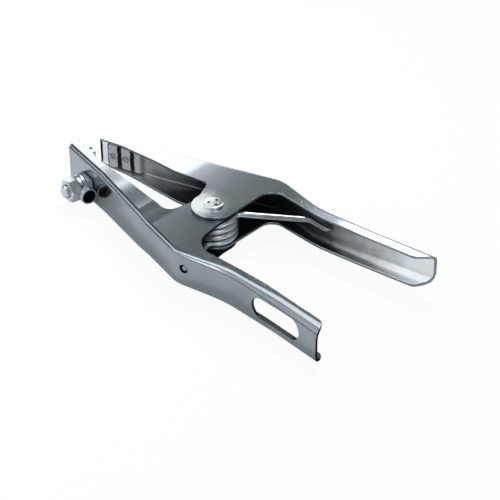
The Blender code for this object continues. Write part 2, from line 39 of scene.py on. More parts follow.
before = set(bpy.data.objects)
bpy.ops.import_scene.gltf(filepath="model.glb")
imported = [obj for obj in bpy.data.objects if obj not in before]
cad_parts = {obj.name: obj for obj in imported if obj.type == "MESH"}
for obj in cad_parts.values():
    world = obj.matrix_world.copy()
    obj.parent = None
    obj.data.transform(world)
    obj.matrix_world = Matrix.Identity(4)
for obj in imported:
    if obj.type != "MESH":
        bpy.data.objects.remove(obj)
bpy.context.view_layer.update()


# Camera, fitted to both levers' outlines in the photograph -----------------------
EYE = (576.12, -590.96, 579.97)     # mm
FORWARD = (-0.55510, 0.59830, -0.57785)
RIGHT = (0.73308, 0.68014, 0.0)
ROLL = 0.248                        # degrees
LENS = 125.97
SENSOR = 36.0
NEAREST = 0.05                      # m


def place_camera():
    """Camera at the photograph's viewing angle."""
    forward = Vector(FORWARD).normalized()
    right = Vector(RIGHT).normalized()
    up = right.cross(forward).normalized()
    roll = math.radians(ROLL)
    side = right * math.cos(roll) - up * math.sin(roll)
    top = right * math.sin(roll) + up * math.cos(roll)
    data = bpy.data.cameras.new("photo_camera")
    data.lens = LENS
    data.sensor_width = SENSOR
    data.clip_start = NEAREST
    camera = bpy.data.objects.new("photo_camera", data)
    bpy.context.scene.collection.objects.link(camera)
    turn = Matrix((side, top, -forward)).transposed().to_4x4()
    turn.translation = Vector(EYE) * MM
    camera.matrix_world = turn
    bpy.context.scene.camera = camera


# Lights and surroundings, in metres ----------------------------------------------
# Lamps: name, spot, aim, width and height, radiance.
# The key is high and behind, and throws the shadow of the near lever forward.
KEY = ("key", (-0.234, 0.335, 0.802), (0.0, 0.0, 0.0), (0.12, 0.12), 80.0)
FILLS = (
    ("fill_above", (-0.14, -0.19, 0.37), (0.08, -0.03, 0.02), (0.18, 0.18), 2.2),
    ("fill_left", (-0.44, -0.24, 0.34), (-0.06, 0.0, 0.02), (0.34, 0.26), 1.3),
    ("fill_low", (-0.16, -0.32, 0.17), (0.07, -0.03, 0.02), (0.30, 0.20), 0.8),
    ("fill_front", (-0.035, -0.33, 0.19), (0.10, 0.04, 0.01), (0.09, 0.14), 2.6),
    ("coil_light", (0.45, -0.26, 0.36), (0.01, -0.01, 0.015), (0.26, 0.22), 2.9),
)

# Upright panels behind the clamp: name, centre, width and height, lean in degrees, radiance.
# The flat tops of the levers mirror them. The dark gap between the two gives the
# tops their fall from the jaws to the neck and the rise after it.
PANELS = (
    ("panel_jaws", (-0.502, 0.35, 0.238), (0.30, 0.36), 46.0, 3.5),
    ("panel_handles", (-0.115, 0.35, 0.443), (0.26, 0.34), 30.0, 3.8),
)

# Room: the height of a view direction, from low to high, and the strengths there.
ROOM_COLOUR = (0.76, 0.95, 1.0, 1.0)
CEILING = ((0.70, 0.93), (0.09, 0.55))
HORIZON = ((0.08, 0.34), (0.36, 0.0))

# Shares of the white background: in the camera's view, and in metal or glass.
ROOM_SHOWN = (0.96, 0.08)
FLOOR_SHOWN = (0.93, 0.1)
FLOOR_SIZE = 14.0
FLOOR_COLOUR = (0.9, 0.9, 0.9, 1.0)


def area_lamp(name, turn, spot, size, radiance):
    """Rectangular lamp that shines along its own -Z; radiance 1 looks white in a mirror."""
    data = bpy.data.lights.new(name, "AREA")
    data.shape = "RECTANGLE"
    data.size, data.size_y = size
    data.energy = radiance * math.pi * size[0] * size[1]
    lamp = bpy.data.objects.new(name, data)
    bpy.context.scene.collection.objects.link(lamp)
    turn = turn.to_4x4()
    turn.translation = spot
    lamp.matrix_world = turn


def aimed_lamp(name, spot, aim, size, radiance):
    """Lamp at spot that shines at aim."""
    turn = (Vector(aim) - Vector(spot)).to_track_quat("-Z", "Y").to_matrix()
    area_lamp(name, turn, spot, size, radiance)


def back_panel(name, centre, size, lean, radiance):
    """Lamp that faces -Y, turned by lean in its own plane."""
    lean = math.radians(lean)
    along = Vector((-math.cos(lean), 0, -math.sin(lean)))
    up = Vector((-math.sin(lean), 0, math.cos(lean)))
    turn = Matrix((along, up, along.cross(up))).transposed()
    area_lamp(name, turn, centre, size, radiance)


def shown(nodes, links, camera, mirror):
    """Socket with the share of the white background for the kind of ray."""
    path = nodes.new("ShaderNodeLightPath")
    total = None
    rays = (("Is Camera Ray", camera), ("Is Glossy Ray", mirror), ("Is Transmission Ray", mirror))
    for ray, share in rays:
        part = nodes.new("ShaderNodeMath")
        part.operation = "MULTIPLY_ADD"
        part.inputs[1].default_value = share
        part.inputs[2].default_value = 0.0
        links.new(path.outputs[ray], part.inputs[0])
        if total:
            links.new(total, part.inputs[2])
        total = part.outputs[0]
    return total


def make_world():
    """Dim blue-grey room with a lighter ceiling and horizon; the camera sees it as white."""
    world = bpy.data.worlds.new("studio")
    world.use_nodes = True
    nodes = world.node_tree.nodes
    links = world.node_tree.links
    room = nodes["Background"]
    room.inputs["Color"].default_value = ROOM_COLOUR
    split = nodes.new("ShaderNodeSeparateXYZ")
    links.new(nodes.new("ShaderNodeTexCoord").outputs["Generated"], split.inputs[0])
    strength = nodes.new("ShaderNodeMath")
    strength.operation = "ADD"
    for slot, (heights, strengths) in enumerate((CEILING, HORIZON)):
        ramp = nodes.new("ShaderNodeMapRange")
        ramp.inputs["From Min"].default_value = heights[0]
        ramp.inputs["From Max"].default_value = heights[1]
        ramp.inputs["To Min"].default_value = strengths[0]
        ramp.inputs["To Max"].default_value = strengths[1]
        links.new(split.outputs["Z"], ramp.inputs["Value"])
        links.new(ramp.outputs["Result"], strength.inputs[slot])
    links.new(strength.outputs[0], room.inputs["Strength"])
    white = nodes.new("ShaderNodeBackground")
    white.inputs["Color"].default_value = (1.0, 1.0, 1.0, 1.0)
    mix = nodes.new("ShaderNodeMixShader")
    links.new(shown(nodes, links, *ROOM_SHOWN), mix.inputs["Fac"])
    links.new(room.outputs[0], mix.inputs[1])
    links.new(white.outputs[0], mix.inputs[2])
    links.new(mix.outputs[0], nodes["World Output"].inputs["Surface"])
    bpy.context.scene.world = world


def light_studio():
    """Room, key, the two panels behind the clamp and the fills in front of it."""
    make_world()
    aimed_lamp(*KEY)
    for row in PANELS:
        back_panel(*row)
    for row in FILLS:
        aimed_lamp(*row)


def lay_floor():
    """Plain white floor that glows a little to the camera and keeps a soft shadow."""
    bpy.ops.mesh.primitive_plane_add(size=FLOOR_SIZE, location=(0, 0, 0))
    floor = bpy.context.object
    floor.name = "floor"
    paint = bpy.data.materials.new("floor_white")
    paint.use_nodes = True
    nodes = paint.node_tree.nodes
    links = paint.node_tree.links
    nodes.clear()
    out = nodes.new("ShaderNodeOutputMaterial")
    mix = nodes.new("ShaderNodeMixShader")
    matte = nodes.new("ShaderNodeBsdfDiffuse")
    matte.inputs["Color"].default_value = FLOOR_COLOUR
    glow = nodes.new("ShaderNodeEmission")
    links.new(shown(nodes, links, *FLOOR_SHOWN), mix.inputs["Fac"])
    links.new(matte.outputs[0], mix.inputs[1])
    links.new(glow.outputs[0], mix.inputs[2])
    links.new(mix.outputs[0], out.inputs["Surface"])
    floor.data.materials.append(paint)


# Materials ------------------------------------------------------------------------
# Noises: scale per metre and detail, and roughness where it isn't the usual one.
PLATE_BLOTCH = (28.0, 4.0)
PLATE_FINE = (850.0, 2.0, 0.6)
DULL_BLOTCH = (60.0, 4.0)
DULL_FINE = (500.0, 2.0, 0.6)
FITTING_FINE = (700.0, 2.0)
HIGHLIGHT_PATCH_EDGE = (150.0, 3.0)
GROOVE_SHADE_NOISE = (300.0, 3.0)

BRIGHT_SHARE = (0.3, 0.7)       # of a noise, over which a tint goes from one colour to the other
PLATE_GRAIN = (1.0, 6.0, 6.0)   # a sheet's fine scratches run along X
HIGHLIGHT_PATCH_RAG = 1.5                # how far an edge wanders to either side, mm
DULL_RAG = 6.0
GROOVE_SHADE_RAG = (-0.2, 0.3)
PAD_METAL = 0.5
# Painted highlight patch on the outer lever's ear: its metallic share and its light tint.
HIGHLIGHT_PATCH_METAL = 0.35
HIGHLIGHT_PATCH_TINT = (0.92, 0.95, 0.97)
# Painted shade in the pads' grooves.
PAD_GROOVE_SHADE = (0.06, 0.06, 0.07)
PAD_TINT = (0.76, 0.78, 0.80)
# Painted shade inside the cable bore.
BORE_SHADE = (0.01, 0.01, 0.012)
LUG_TINTS = ((0.44, 0.47, 0.50), (0.56, 0.59, 0.62))


class Paint:
    """Small helper that lays out the nodes of one procedural metal."""

    def __init__(self, name, metallic=1.0, rim=1.0):
        self.material = bpy.data.materials.new(name)
        self.material.use_nodes = True
        self.nodes = self.material.node_tree.nodes
        self.links = self.material.node_tree.links
        self.shader = self.nodes["Principled BSDF"]
        self.shader.inputs["Metallic"].default_value = metallic
        self.shader.inputs["Specular Tint"].default_value = (rim, rim, rim, 1.0)
        self.place = self.nodes.new("ShaderNodeTexCoord").outputs["Object"]

    def set(self, name, socket):
        """Feed an input of the shader."""
        self.links.new(socket, self.shader.inputs[name])

    def stretched(self, scale, shift=(0.0, 0.0, 0.0)):
        """Object coordinates, scaled and shifted."""
        mapping = self.nodes.new("ShaderNodeMapping")
        mapping.inputs["Location"].default_value = shift
        mapping.inputs["Scale"].default_value = scale
        self.links.new(self.place, mapping.inputs["Vector"])
        return mapping.outputs["Vector"]

    def noise(self, scale, detail, rough=0.55, vector=None):
        """Noise from 0 to 1, over the object or over a vector."""
        made = self.nodes.new("ShaderNodeTexNoise")
        made.inputs["Scale"].default_value = scale
        made.inputs["Detail"].default_value = detail
        made.inputs["Roughness"].default_value = rough
        self.links.new(vector or self.place, made.inputs["Vector"])
        return made.outputs["Fac"]

    def spread(self, value, low, high, start=0.35, end=0.65):
        """Number from low to high, while value goes from start to end."""
        made = self.nodes.new("ShaderNodeMapRange")
        made.inputs["From Min"].default_value = start
        made.inputs["From Max"].default_value = end
        made.inputs["To Min"].default_value = low
        made.inputs["To Max"].default_value = high
        self.links.new(value, made.inputs["Value"])
        return made.outputs["Result"]

    def vector_math(self, operation, first, second=None, output="Vector"):
        """Operation on a socket and, where it needs one, a fixed vector."""
        made = self.nodes.new("ShaderNodeVectorMath")
        made.operation = operation
        self.links.new(first, made.inputs[0])
        if second is not None:
            made.inputs[1].default_value = second
        return made.outputs[output]

    def number_math(self, operation, first, second):
        """Operation on a socket and a number or another socket."""
        made = self.nodes.new("ShaderNodeMath")
        made.operation = operation
        self.links.new(first, made.inputs[0])
        if isinstance(second, float):
            made.inputs[1].default_value = second
        else:
            self.links.new(second, made.inputs[1])
        return made.outputs[0]

    def between(self, value, first, second):
        """Mix of two colours, each a tuple or a socket."""
        made = self.nodes.new("ShaderNodeMix")
        made.data_type = "RGBA"
        for key, colour in (("A", first), ("B", second)):
            if isinstance(colour, tuple):
                made.inputs[key].default_value = (*colour, 1.0)
            else:
                self.links.new(colour, made.inputs[key])
        self.links.new(value, made.inputs["Factor"])
        return made.outputs["Result"]

    def finished(self, tint, fine, rough, strength, depth):
        """Material with this tint, whose gloss and bump follow a fine noise; depth in mm."""
        self.set("Base Color", tint)
        self.set("Roughness", self.spread(fine, *rough))
        made = self.nodes.new("ShaderNodeBump")
        made.inputs["Strength"].default_value = strength
        made.inputs["Distance"].default_value = depth * MM
        self.links.new(fine, made.inputs["Height"])
        self.set("Normal", made.outputs["Normal"])
        return self.material


def paint_highlight_patch(paint, tint, spot, span):
    """Pale, less metallic patch about a spot in the XY plane: a painted highlight."""
    flat = paint.stretched((1.0, 1.0, 0.0), (-spot[0] * MM, -spot[1] * MM, 0.0))
    away = paint.vector_math("LENGTH", flat, output="Value")
    ragged = paint.spread(paint.noise(*HIGHLIGHT_PATCH_EDGE), -HIGHLIGHT_PATCH_RAG * MM, HIGHLIGHT_PATCH_RAG * MM)
    share = paint.spread(paint.number_math("ADD", away, ragged), 1.0, 0.0, span[0] * MM, span[1] * MM)
    paint.set("Metallic", paint.spread(share, 1.0, HIGHLIGHT_PATCH_METAL))
    return paint.between(share, tint, HIGHLIGHT_PATCH_TINT)


def metal(name, dark, light, rough, grain=(1.0, 1.0, 1.0), highlight_patch=None, rim=1.0):
    """Plated metal: slow blotches in its tint, a fine grain in its gloss and a slight bump.

    A patch, if given, is the spot and radii of a pale painted highlight; rim is the share of its shine at
    a grazing angle.
    """
    paint = Paint(name, rim=rim)
    blotch = paint.spread(paint.noise(*PLATE_BLOTCH), 0.0, 1.0, *BRIGHT_SHARE)
    tint = paint.between(blotch, dark, light)
    if highlight_patch:
        tint = paint_highlight_patch(paint, tint, *highlight_patch)
    fine = paint.noise(*PLATE_FINE, paint.stretched(grain))
    return paint.finished(tint, fine, (rough - 0.04, rough + 0.05), 0.12, 0.04)


def painted_range_look(name, near, far, centre, span, rough, rim=1.0):
    """Dull metal with painted light and shade: near is its colour round a point on the X axis, far its
    colour beyond a span.

    centre and span are in millimetres; the colour changes between the span's two radii.
    """
    paint = Paint(name, rim=rim)
    flat = paint.stretched((1.0, 1.0, 0.0), (-centre * MM, 0.0, 0.0))
    away = paint.vector_math("LENGTH", flat, output="Value")
    ragged = paint.spread(paint.noise(*DULL_BLOTCH), -DULL_RAG * MM, DULL_RAG * MM)
    share = paint.spread(paint.number_math("ADD", away, ragged), 0.0, 1.0, span[0] * MM, span[1] * MM)
    tint = paint.between(share, near, far)
    fine = paint.noise(*DULL_FINE)
    return paint.finished(tint, fine, (rough - 0.03, rough + 0.03), 0.06, 0.03)


def pad_look(name, lever, start, groove):
    """Bright contact pad; its grooves, GROOVE_PITCH apart along the web, are darkened with painted shade.
    """
    paint = Paint(name, metallic=PAD_METAL)
    place = lever.web_frame(start)
    along = place.col[0].to_3d()
    shift = along.dot(place.translation) + groove * MM
    ahead = paint.vector_math("DOT_PRODUCT", paint.place, along, "Value")
    from_groove = paint.number_math("ADD", ahead, -shift)
    wave = paint.number_math("PINGPONG", from_groove, GROOVE_PITCH / 2 * MM)
    # A noise rags the edge of the grooves' painted shade.
    shade_rag = paint.spread(paint.noise(*GROOVE_SHADE_NOISE), GROOVE_SHADE_RAG[0] * MM, GROOVE_SHADE_RAG[1] * MM)
    edge = (GROOVE_HALF - GROOVE_EDGE, GROOVE_HALF + GROOVE_EDGE)
    share = paint.spread(paint.number_math("ADD", wave, shade_rag), 0.0, 1.0, edge[0] * MM, edge[1] * MM)
    tint = paint.between(share, PAD_GROOVE_SHADE, PAD_TINT)
    return paint.finished(tint, paint.noise(*FITTING_FINE), (0.38, 0.48), 0.2, 0.05)


def lug_painted_bore_look(name, place):
    """Plated lug, whose bore for the cable is painted nearly black as shade; place is the web's frame at
    the bolt.
    """
    paint = Paint(name)
    along = place.col[0].to_3d()
    local = paint.vector_math("SUBTRACT", paint.place, place @ Vector((0, 0, BARREL_AXIS * MM)))
    ahead = paint.vector_math("DOT_PRODUCT", local, along, "Value")
    radius = paint.vector_math("LENGTH", paint.vector_math("CROSS_PRODUCT", local, along), output="Value")
    outside = paint.spread(radius, 0.0, 1.0, BORE_RADII[0] * MM, BORE_RADII[1] * MM)
    behind = paint.spread(ahead, 1.0, 0.0, BORE_START[0] * MM, BORE_START[1] * MM)
    # Painted shade within the bore, plated tint outside it.
    clear_of_bore_shade = paint.number_math("MAXIMUM", outside, behind)
    blotch = paint.spread(paint.noise(*DULL_BLOTCH), 0.0, 1.0, *BRIGHT_SHARE)
    tint = paint.between(clear_of_bore_shade, BORE_SHADE, paint.between(blotch, *LUG_TINTS))
    return paint.finished(tint, paint.noise(*FITTING_FINE), (0.33, 0.42), 0.12, 0.04)


def dress(node, material):
    """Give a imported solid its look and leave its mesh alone."""
    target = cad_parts[node]
    target.data.materials.clear()
    target.data.materials.append(material)


# Levers, in the same shares of the main sizes as the solids, mm --------------------
JAW_REACH = 108.0
GRIP_REACH = 126.8
SPREAD = 46.6
EAR_HALF = 11.35
SHEET = 1.6
FIT = 0.3
OFFSET = (SHEET + FIT) / 2
EAR_R = 13.0
PIVOT_HOLE_R = 4.3
HEAD_R = 5.8
BOLT_HOLE_R = 4.3
PAD_RIVET_HOLE_R = 2.3
BOLT_X = -0.8204 * JAW_REACH
BOLT_RISE = -3.6
BARREL_AXIS = 5.2               # of the lug, out from the web
BORE_RADII = (4.15, 4.45)       # painted shade within the first, plated from the second
BORE_START = (9.4, 9.8)         # from the bolt along the web
OUTER_PAD_X = -0.9093 * JAW_REACH
OUTER_RIVET_U = (4.0, 12.8)
INNER_PAD_X = -0.9667 * JAW_REACH
GROOVE_PITCH = 8.8
GROOVE_HALF = 1.5
GROOVE_EDGE = 0.2
OUTER_GROOVE = 8.4
INNER_GROOVE = 12.6

# Plan of a web: share of the reach, share of the spread, fillet over the spread.
# A negative share runs to the jaws and a positive one to the handles.
INNER_WEB = (
    (-1.0, 0.2747, 0.0),
    (-0.6481, 0.4678, 1.29),
    (-0.2778, 0.721, 1.93),
    (0.1065, 0.9807, 0.47),
    (0.3707, 0.8584, 1.5),
    (0.6703, 0.9034, 3.43),
    (1.0095, 1.0043, 0.0),
)
OUTER_WEB = (
    (-0.9583, 0.2361, 0.0),
    (-0.6481, 0.4506, 1.29),
    (0.0931, 1.0, 0.43),
    (0.3549, 0.8455, 1.29),
    (0.6703, 0.9227, 3.43),
    (1.0, 1.0258, 0.0),
)

# Free edge of the flanges, in the same shares
INNER_MOUTH = (
    (-1.0, 0.1202, 0.0),
    (-0.8796, 0.1502, 0.32),
    (-0.7778, 0.2403, 0.26),
    (-0.4167, 0.3562, 1.29),
    (-0.1537, 0.4421, 0.14),
)
INNER_GRIP = (
    (0.1301, 0.721, 0.3),
    (0.2839, 0.7232, 1.29),
    (0.5521, 0.7382, 2.58),
    (0.9172, 0.8326, 0.09),
    (0.9172, 1.2876, 0.0),
)
OUTER_MOUTH = (
    (-0.9583, 0.176, 0.0),
    (-0.7778, 0.2275, 0.64),
    (-0.5556, 0.2318, 1.29),
    (-0.3704, 0.2275, 0.86),
    (-0.1722, 0.3176, 0.11),
)
OUTER_GRIP = (
    (0.1017, 0.7468, 0.18),
    (0.3943, 0.6803, 1.29),
    (0.6309, 0.7318, 2.58),
    (0.9038, 0.8112, 0.11),
    (0.97, 0.9828, 0.17),
    (0.9968, 1.2876, 0.0),
)

# Half height along a lever: share of the reach, share of EAR_HALF
INNER_HEIGHT = (
    (-1.0185, 1.233),
    (-0.7407, 1.207),
    (-0.5, 1.154),
    (-0.2778, 1.101),
    (-0.1296, 1.0),
    (0.205, 1.0),
    (0.4732, 1.057),
    (0.7098, 1.057),
    (1.0252, 1.04),
)
OUTER_HEIGHT = (
    (-1.0185, 0.802),
    (-0.7407, 0.89),
    (-0.5, 0.969),
    (-0.2963, 1.0),
    (0.2366, 1.0),
    (0.4732, 0.969),
    (0.7098, 0.934),
    (1.0252, 0.899),
)

# Outer radius of a fold in sheet thicknesses: wide on one long edge, tight on the other
WIDE_FOLD = (
    (-1.0185, 1.75),
    (0.142, 2.0),
    (0.4732, 3.75),
    (0.7886, 5.5),
    (1.0252, 5.88),
)
TIGHT_FOLD = (
    (-1.0185, 1.75),
    (1.0252, 1.94),
)

# Openings in the webs ----------------------------------------------------------
SLOT_START = 0.53 * GRIP_REACH
SLOT_FINISH = 0.8125 * GRIP_REACH
SLOT_R = 6.3
SPRING_HOLE_R = 2.5
INNER_HOLE_X = 0.1522 * GRIP_REACH
INNER_HOLE_RISE = 1.5           # over the middle of the web
OUTER_HOLE_X = 0.4353 * GRIP_REACH
OUTER_HOLE_RISE = 0.3

# Fineness and trims of the levers' meshes --------------------------------------------
QUARTER_STEPS = 30              # of a fillet in a plan
LEAST_STEPS = 6
CORNER_STEPS = 12               # of a fold
SECTIONS = 150
EAR_STEPS = 60
SLOT_STEPS = 24
EAR_CLEAR = 0.8                 # no section this near to the ear's straight side
MOUTH_ROOT = 0.12               # where the ear meets the free edges, in shares of EAR_R
GRIP_ROOT = 0.46
BLANK_DEPTH = 1.5 * EAR_R       # flanges before they are trimmed
BLANK_FAR = 1.33 * SPREAD       # past both webs
CUT_HEIGHTS = (-MID_Z, 3 * MID_Z)     # of a cutter through the whole clamp
DRILL_DEPTH = 3 * SHEET
SLOT_FAR = 1.2 * SPREAD
NOSE_TRIM = 0.3 * SHEET         # taken off the blank at the jaw's end
END_INSET = 0.01                # of the end sections
LEAST_GAP = 0.4                 # between two sections, in steps
ROD_SIDES = 48
FOLD_ANGLE = 35                 # degrees; what turns more is a crease
EDGE_ROUND = 0.25
EDGE_ANGLE = 60                 # degrees; what turns more is rounded
EDGE_STEPS = 2


def laid_out(rows):
    """Rows in shares of the main sizes, in millimetres."""
    out = []
    for x, y, radius in rows:
        reach = JAW_REACH if x < 0 else GRIP_REACH
        out.append((x * reach, y * SPREAD, radius * SPREAD))
    return tuple(out)


def share_of_reach(x):
    """Share of the jaws' or the handles' reach at x."""
    return x / (JAW_REACH if x < 0 else GRIP_REACH)


def fillet_path(corners):
    """Polyline through (x, y, radius) corners, each rounded to its radius."""
    out = [Vector(corners[0][:2])]
    for before, here, after in zip(corners, corners[1:], corners[2:]):
        p = Vector(here[:2])
        a = (Vector(before[:2]) - p).normalized()
        b = (Vector(after[:2]) - p).normalized()
        radius = here[2]
        half = a.angle(b) / 2
        reach = radius / math.tan(half)
        start = p + a * reach
        end = p + b * reach
        centre = p + (a + b).normalized() * (radius / math.sin(half))
        turn = math.pi - 2 * half
        count = max(LEAST_STEPS, math.ceil(QUARTER_STEPS * turn / (math.pi / 2)))
        first = start - centre
        sweep = first.angle_signed(end - centre)
        for i in range(count + 1):
            arm = first.copy()
            arm.rotate(Matrix.Rotation(-sweep * i / count, 2))
            out.append(centre + arm)
    out.append(Vector(corners[-1][:2]))
    return out


def read_path(path, x):
    """Height of a path at x; the path runs from small x to large x."""
    for a, b in zip(path, path[1:]):
        if a[0] <= x <= b[0]:
            return a[1] + (b[1] - a[1]) * (x - a[0]) / (b[0] - a[0])
    raise ValueError(f"x {x} is off the path")


def read_smooth(table, x):
    """Value of a table of (x, value) pairs, eased between its rows."""
    for a, b in zip(table, table[1:]):
        if a[0] <= x <= b[0]:
            t = (x - a[0]) / (b[0] - a[0])
            return a[1] + (b[1] - a[1]) * t * t * (3 - 2 * t)
    raise ValueError(f"x {x} is off the table")


def skin(name, rings, material):
    """Solid skinned over equal closed rings of points, in millimetres."""
    count = len(rings[0])
    verts = [Vector(point) * MM for ring in rings for point in ring]
    faces = []
    for i in range(len(rings) - 1):
        for k in range(count):
            j = (k + 1) % count
            faces.append((i * count + k, i * count + j, (i + 1) * count + j, (i + 1) * count + k))
    faces.append(tuple(range(count))[::-1])
    faces.append(tuple(range((len(rings) - 1) * count, len(rings) * count)))
    mesh = bpy.data.meshes.new(name)
    mesh.from_pydata(verts, [], faces)
    tidy = bmesh.new()
    tidy.from_mesh(mesh)
    bmesh.ops.recalc_face_normals(tidy, faces=tidy.faces)
    tidy.to_mesh(mesh)
    tidy.free()
    mesh.materials.append(material)
    made = bpy.data.objects.new(name, mesh)
    bpy.context.scene.collection.objects.link(made)
    return made


def turned(name, profile, material, sides):
    """Closed (radius, height) profile turned about Z, from its foot on the axis to its top."""
    rings = []
    for radius, height in profile:
        ring = []
        for k in range(sides):
            angle = math.tau * k / sides
            ring.append((radius * math.cos(angle), radius * math.sin(angle), height))
        rings.append(ring)
    return skin(name, rings, material)


def rod(name, radius, low, high, material):
    """Round cutter along Z."""
    return turned(name, ((radius, low), (radius, high)), material, ROD_SIDES)


def evaluated(target):
    """Put what the modifiers make of an object into its mesh."""
    bpy.context.view_layer.update()
    graph = bpy.context.evaluated_depsgraph_get()
    result = bpy.data.meshes.new_from_object(target.evaluated_get(graph))
    target.modifiers.clear()
    target.data = result


def carve(target, tool, operation="DIFFERENCE"):
    """Exact Boolean whose cut faces keep the material of the tool."""
    step = target.modifiers.new("cut", "BOOLEAN")
    step.operation = operation
    step.object = tool
    step.solver = "EXACT"
    step.material_mode = "TRANSFER"
    evaluated(target)
    bpy.data.objects.remove(tool, do_unlink=True)


def soften(target, angle=FOLD_ANGLE, round_over=0.0, slot=0):
    """Smooth folds and flat faces that stay flat; rounded edges take the material in slot."""
    for face in target.data.polygons:
        face.use_smooth = True
    target.data.set_sharp_from_angle(angle=math.radians(angle))
    if round_over:
        step = target.modifiers.new("edges", "BEVEL")
        step.width = round_over * MM
        step.segments = EDGE_STEPS
        step.limit_method = "ANGLE"
        step.angle_limit = math.radians(EDGE_ANGLE)
        step.use_clamp_overlap = False
        step.material = slot
        evaluated(target)
    step = target.modifiers.new("flats", "WEIGHTED_NORMAL")
    step.keep_sharp = True
    evaluated(target)


class Lever:
    """One folded channel. side is -1 for the inner lever and 1 for the outer."""

    def __init__(self, side, web, mouth, grip, height):
        self.side = side
        self.mid = MID_Z + side * OFFSET
        self.folds = (WIDE_FOLD, TIGHT_FOLD) if side < 0 else (TIGHT_FOLD, WIDE_FOLD)
        self.web = fillet_path(laid_out(web))
        self.mouth = laid_out(mouth)
        self.grip = laid_out(grip)
        self.height = height

    def half(self, x):
        """Half the channel's height at x."""
        return EAR_HALF * read_smooth(self.height, share_of_reach(x))

    def corner(self, x, deep, fold, offset):
        """Half a section, one skin of the sheet: from its free edge round to the web."""
        web = read_path(self.web, x)
        half = self.half(x)
        bend = fold - offset
        line = [(deep, half - offset)]
        for i in range(CORNER_STEPS + 1):
            angle = math.pi / 2 * i / CORNER_STEPS
            across = web - fold + bend * math.sin(angle)
            line.append((across, half - fold + bend * math.cos(angle)))
        return line

    def section(self, x, deep):
        """C-shaped section of the sheet at x, open towards the middle line."""
        high, low = (SHEET * read_smooth(table, share_of_reach(x)) for table in self.folds)
        ring = self.corner(x, deep, high, 0)
        ring += [(y, -z) for y, z in reversed(self.corner(x, deep, low, 0))]
        ring += [(y, -z) for y, z in self.corner(x, deep, low, SHEET)]
        ring += reversed(self.corner(x, deep, high, SHEET))
        return [(x, self.side * y, self.mid + z) for y, z in ring]

    def channel(self, name, material, inside):
        """Folded channel as long as the web, with deep flanges; inside dresses its inner skin."""
        x0 = self.web[0][0] + END_INSET
        x1 = self.web[-1][0] - END_INSET
        marks = {x0, x1}
        marks.update(p[0] for p in self.web[1:-1])
        for row in self.height:
            x = row[0] * (JAW_REACH if row[0] < 0 else GRIP_REACH)
            if x0 < x < x1:
                marks.add(x)
        step = (x1 - x0) / SECTIONS
        for i in range(1, SECTIONS):
            x = x0 + step * i
            if min(abs(x - m) for m in marks) > step * LEAST_GAP:
                marks.add(x)
        # No section runs along the straight side of the ear, where it would leave a sliver.
        kept = sorted(x for x in marks if abs(x - EAR_R) > EAR_CLEAR)
        made = skin(name, [self.section(x, -BLANK_DEPTH) for x in kept], material)
        made.data.materials.append(inside)
        count = len(self.section(x0, 0.0))
        for face in made.data.polygons[:-2]:
            if count // 2 <= face.index % count < count - 1:
                face.material_index = 1
        return made

    def plan(self):
        """Closed outline of the finished blank, seen from above."""
        tip = self.mouth[0]
        before = fillet_path(self.mouth + ((-EAR_R, EAR_R * MOUTH_ROOT, 0),))
        after = fillet_path(((EAR_R, EAR_R * GRIP_ROOT, 0),) + self.grip)
        ear = []
        for i in range(EAR_STEPS + 1):
            angle = math.pi + math.pi * i / EAR_STEPS
            ear.append(Vector((EAR_R * math.cos(angle), EAR_R * math.sin(angle))))
        front = tip[0] + NOSE_TRIM
        back = [Vector((after[-1][0], BLANK_FAR)), Vector((front, BLANK_FAR))]
        line = [Vector((front, tip[1]))] + before[1:] + ear + after + back
        return [(p[0], self.side * p[1]) for p in line]

    def web_frame(self, x, height=0.0):
        """Frame on the outer face of the web: along the jaw, up, outward."""
        y = read_path(self.web, x)
        before = max(x - SHEET, self.web[0][0])
        after = x + SHEET
        slope = (read_path(self.web, after) - read_path(self.web, before)) / (after - before)
        along = Vector((1, self.side * slope, 0)).normalized()
        out = Vector((-self.side * along.y, self.side * along.x, 0))
        up = Vector((0, 0, 1))
        place = Matrix((along, up, out)).transposed().to_4x4()
        place.translation = Vector((x, self.side * y, self.mid + height)) * MM
        return place

    def blank(self, name, material, inside, edge):
        """Channel trimmed to its plan, with the pivot's holes."""
        body = self.channel(name, material, inside)
        outline = self.plan()
        trim = skin("trim", [[(x, y, z) for x, y in outline] for z in CUT_HEIGHTS], edge)
        carve(body, trim, "INTERSECT")
        carve(body, rod("drill", PIVOT_HOLE_R, *CUT_HEIGHTS, edge))
        return body

    def drill(self, body, x, rise, radius, edge, along=0.0):
        """Round hole through the web, along from the frame at x."""
        tool = rod("drill", radius, -DRILL_DEPTH, DRILL_DEPTH, edge)
        tool.data.transform(self.web_frame(x, rise) @ Matrix.Translation((along * MM, 0, 0)))
        carve(body, tool)


def cable_slot(lever, edge):
    """Cutter for the slot with round ends in the inner lever's handle."""
    outline = []
    for centre, start in ((SLOT_FINISH - SLOT_R, -math.pi / 2), (SLOT_START + SLOT_R, math.pi / 2)):
        for i in range(SLOT_STEPS + 1):
            angle = start + math.pi * i / SLOT_STEPS
            spot = (centre + SLOT_R * math.cos(angle), lever.mid + SLOT_R * math.sin(angle))
            outline.append(spot)
    inside = read_path(lever.web, SLOT_START) - 2 * SHEET
    return skin("slot", [[(x, y, z) for x, z in outline] for y in (-SLOT_FAR, -inside)], edge)


